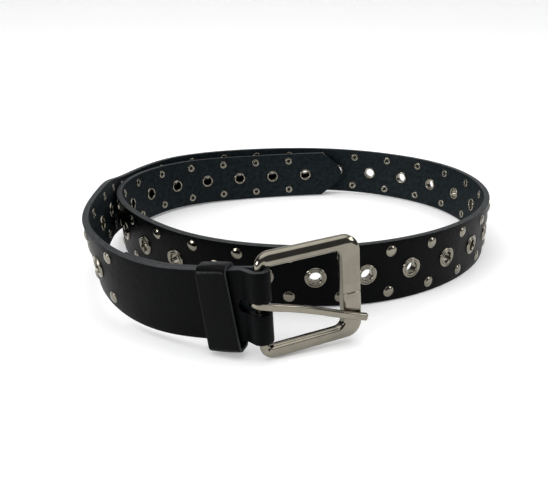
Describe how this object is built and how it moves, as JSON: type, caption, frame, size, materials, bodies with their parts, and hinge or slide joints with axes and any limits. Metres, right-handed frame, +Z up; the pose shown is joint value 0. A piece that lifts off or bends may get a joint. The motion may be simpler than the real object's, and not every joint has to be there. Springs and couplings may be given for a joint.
{
  "type": "eyelet belt",
  "caption": "Black leather belt with one row of metal eyelets between two rows of rivets, a rectangular buckle and a keeper, loosely coiled on its edge.",
  "frame": {"origin": "centre of the coiled belt in plan, on the surface it stands on", "axes": "+Z up across the strap's width, -Y towards the buckle side, +X to the right seen from there"},
  "size_m": [0.2571, 0.2792, 0.0556],
  "materials": {
    "leather": "black, slightly satin, with grey cut edges",
    "nickel": "polished warm grey nickel"
  },
  "bodies": {
    "belt": {"strap": "leather", "keeper": "leather", "eyelet_01": "nickel", "eyelet_02": "nickel", "eyelet_03": "nickel", "eyelet_04": "nickel", "eyelet_05": "nickel", "eyelet_06": "nickel", "eyelet_07": "nickel", "eyelet_08": "nickel", "eyelet_09": "nickel", "eyelet_10": "nickel", "eyelet_11": "nickel", "eyelet_12": "nickel", "eyelet_13": "nickel", "eyelet_14": "nickel", "eyelet_15": "nickel", "eyelet_16": "nickel", "eyelet_17": "nickel", "eyelet_18": "nickel", "eyelet_19": "nickel", "eyelet_20": "nickel", "eyelet_21": "nickel", "eyelet_22": "nickel", "eyelet_23": "nickel", "eyelet_24": "nickel", "eyelet_25": "nickel", "eyelet_26": "nickel", "eyelet_27": "nickel", "eyelet_28": "nickel", "eyelet_29": "nickel", "eyelet_30": "nickel", "eyelet_31": "nickel", "eyelet_32": "nickel", "eyelet_33": "nickel", "eyelet_34": "nickel", "eyelet_35": "nickel", "eyelet_36": "nickel", "eyelet_37": "nickel", "eyelet_38": "nickel"},
    "buckle": {"buckle_frame": "nickel"},
    "prong": {"tongue": "nickel"}
  },
  "joints": [
    {"name": "buckle_swing", "type": "hinge", "parent": "belt", "child": "buckle", "pos_m": [-0.02371, -0.13354, 0.02835], "axis": [0.0677, -0.0212, -0.9975], "range_deg": [-35, 90]},
    {"name": "tongue_swing", "type": "hinge", "parent": "buckle", "child": "prong", "pos_m": [-0.02371, -0.13354, 0.02835], "axis": [0.0677, -0.0212, -0.9975], "range_deg": [0, 70]}
  ]
}
